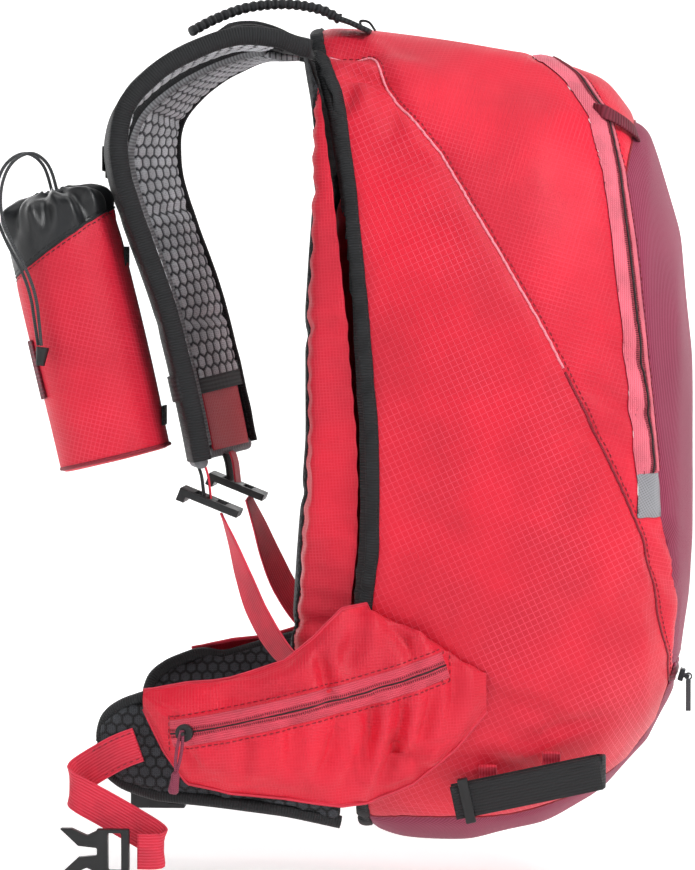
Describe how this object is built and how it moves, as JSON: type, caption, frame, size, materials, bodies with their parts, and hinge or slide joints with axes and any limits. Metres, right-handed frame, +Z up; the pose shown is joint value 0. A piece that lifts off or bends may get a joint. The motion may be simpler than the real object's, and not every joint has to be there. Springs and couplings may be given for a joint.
{
  "type": "ski backpack",
  "caption": "Slim red ski touring backpack with padded straps, a strap-mounted bottle holder, pocketed hip belt, curved zips and an axe loop.",
  "frame": {"origin": "middle of the back pad, where it rests on the wearer's back", "axes": "+X away from the wearer's back, -Y to the wearer's left, +Z up"},
  "size_m": [0.4168, 0.3374, 0.5195],
  "materials": {
    "ripstop_red": "red ripstop nylon with a pale grid",
    "stretch_berry": "berry stretch woven fabric",
    "binding_black": "black woven binding",
    "mesh_grey": "grey and black spacer mesh",
    "strap_black": "black brushed nylon",
    "webbing_red": "red woven webbing",
    "webbing_black": "black woven webbing",
    "zip_pink": "pink zip tape",
    "zip_red": "red zip tape",
    "reflective": "grey retro-reflective film",
    "plastic_black": "black acetal",
    "foam": "closed-cell foam",
    "sheet": "polyethylene sheet",
    "metal": "dark plated zinc",
    "elastic_black": "ruched elastic",
    "collar_black": "smooth black nylon",
    "cord_grey": "thin dark cord",
    "pull_berry": "moulded berry cord pull"
  },
  "bodies": {
    "root": {"back_binding": "binding_black", "main_zip": "zip_pink", "reflective_patches": "reflective", "front_panel": "stretch_berry", "top_gusset": "ripstop_red", "upper_panel": "ripstop_red", "side_panel_left": "ripstop_red", "side_panel_right": "ripstop_red", "bottom_panel": "stretch_berry", "lower_zip": "zip_red", "back_mesh": "mesh_grey", "back_side_strips": "ripstop_red", "back_foam": "foam", "back_stiffener": "sheet", "haul_loop": "webbing_black", "ski_strap": "elastic_black", "ski_strap_tab": "webbing_black", "hip_pocket_rear_left": "ripstop_red", "hip_pocket_rear_right": "ripstop_red", "lower_webbing_left": "webbing_red", "lower_webbing_right": "webbing_red", "axe_loop": "webbing_black", "axe_loop_keepers": "webbing_red", "gear_loops": "stretch_berry"},
    "main_slider": {"main_slider": "metal"},
    "main_pull": {"main_pull": "metal"},
    "lower_slider": {"lower_slider": "metal"},
    "lower_pull": {"lower_pull": "metal"},
    "strap_left": {"shoulder_strap_left": "strap_black", "strap_mesh_left": "mesh_grey", "strap_end_left": "webbing_black", "bottle_holder": "ripstop_red", "holder_collar": "collar_black", "drawcord_front": "cord_grey", "drawcord_rear": "cord_grey", "cord_end": "plastic_black", "chest_strap_left": "webbing_black", "chest_buckle_socket": "plastic_black"},
    "strap_right": {"shoulder_strap_right": "strap_black", "strap_mesh_right": "mesh_grey", "strap_end_right": "webbing_black", "chest_strap_right": "webbing_black", "chest_buckle_plug": "plastic_black"},
    "lock_left": {"ladder_lock_left": "plastic_black"},
    "lock_right": {"ladder_lock_right": "plastic_black"},
    "wing_left": {"hip_wing_left": "mesh_grey", "hip_pocket_left": "ripstop_red", "pocket_zip_left": "zip_red", "hip_webbing_left": "webbing_red"},
    "pocket_slider_left": {"pocket_slider_left": "plastic_black"},
    "pocket_pull_left": {"pocket_pull_left": "pull_berry"},
    "wing_right": {"hip_wing_right": "mesh_grey", "hip_pocket_right": "ripstop_red", "pocket_zip_right": "zip_red", "hip_webbing_right": "webbing_red"},
    "pocket_slider_right": {"pocket_slider_right": "plastic_black"},
    "pocket_pull_right": {"pocket_pull_right": "pull_berry"},
    "buckle_left": {"hip_buckle_male": "plastic_black"},
    "buckle_right": {"hip_buckle_female": "plastic_black"},
    "axe_glide": {"axe_loop_glide": "plastic_black"}
  },
  "joints": [
    {"name": "strap_left_swing", "type": "hinge", "parent": "root", "child": "strap_left", "pos_m": [-0.002, -0.058, 0.24], "axis": [0, 1, 0], "range_deg": [-3, 18], "deforming": ["lower_webbing_left", "ski_strap"]},
    {"name": "strap_right_swing", "type": "hinge", "parent": "root", "child": "strap_right", "pos_m": [-0.002, 0.058, 0.24], "axis": [0, 1, 0], "range_deg": [-3, 18], "deforming": ["lower_webbing_right"]},
    {"name": "ladder_lock_left_tilt", "type": "hinge", "parent": "strap_left", "child": "lock_left", "pos_m": [-0.05645, -0.085, -0.0337], "axis": [0, 1, 0], "range_deg": [-20, 20]},
    {"name": "hip_wing_left_fold", "type": "hinge", "parent": "root", "child": "wing_left", "pos_m": [0.04, -0.126, -0.16], "axis": [0, 0, 1], "range_deg": [-12, 15]},
    {"name": "pocket_zip_left_run", "type": "slide", "parent": "wing_left", "child": "pocket_slider_left", "axis": [0.9691, -0.1044, 0.2236], "range_m": [0, 0.058]},
    {"name": "pocket_pull_left_swing", "type": "hinge", "parent": "pocket_slider_left", "child": "pocket_pull_left", "pos_m": [-0.05764, -0.16687, -0.16765], "axis": [-0.1017, -0.9945, -0.0235], "range_deg": [-35, 35]},
    {"name": "ladder_lock_right_tilt", "type": "hinge", "parent": "strap_right", "child": "lock_right", "pos_m": [-0.05645, 0.085, -0.0337], "axis": [0, 1, 0], "range_deg": [-20, 20]},
    {"name": "hip_wing_right_fold", "type": "hinge", "parent": "root", "child": "wing_right", "pos_m": [0.04, 0.126, -0.16], "axis": [0, 0, 1], "range_deg": [-15, 12]},
    {"name": "pocket_zip_right_run", "type": "slide", "parent": "wing_right", "child": "pocket_slider_right", "axis": [0.9691, 0.1044, 0.2236], "range_m": [0, 0.058]},
    {"name": "pocket_pull_right_swing", "type": "hinge", "parent": "pocket_slider_right", "child": "pocket_pull_right", "pos_m": [-0.05764, 0.16687, -0.16765], "axis": [-0.1017, 0.9945, -0.0235], "range_deg": [-35, 35]},
    {"name": "hip_buckle_male_turn", "type": "hinge", "parent": "wing_left", "child": "buckle_left", "pos_m": [-0.09325, -0.1535, -0.239], "axis": [0, 0, 1], "range_deg": [-30, 30]},
    {"name": "hip_buckle_female_turn", "type": "hinge", "parent": "wing_right", "child": "buckle_right", "pos_m": [-0.09275, 0.1535, -0.239], "axis": [0, 0, 1], "range_deg": [-15, 15]},
    {"name": "main_zip_run", "type": "slide", "parent": "root", "child": "main_slider", "axis": [0.091, 0.0745, -0.9931], "range_m": [0, 0.056]},
    {"name": "main_pull_flip", "type": "hinge", "parent": "main_slider", "child": "main_pull", "pos_m": [0.20674, 0.09963, 0.10496], "axis": [0.7807, -0.6244, 0.0247], "range_deg": [0, 105]},
    {"name": "lower_zip_run", "type": "slide", "parent": "root", "child": "lower_slider", "axis": [0, 1, 0], "range_m": [0, 0.066]},
    {"name": "lower_pull_swing", "type": "hinge", "parent": "lower_slider", "child": "lower_pull", "pos_m": [0.23794, -0.033, -0.14535], "axis": [0, 1, 0], "range_deg": [-100, 0]},
    {"name": "axe_loop_glide_run", "type": "slide", "parent": "root", "child": "axe_glide", "axis": [0.9773, 0, 0.2119], "range_m": [0, 0.05]}
  ],
  "couplings": [
    {"joint": "strap_right_swing", "follows": "strap_left_swing", "ratio": 1}
  ]
}
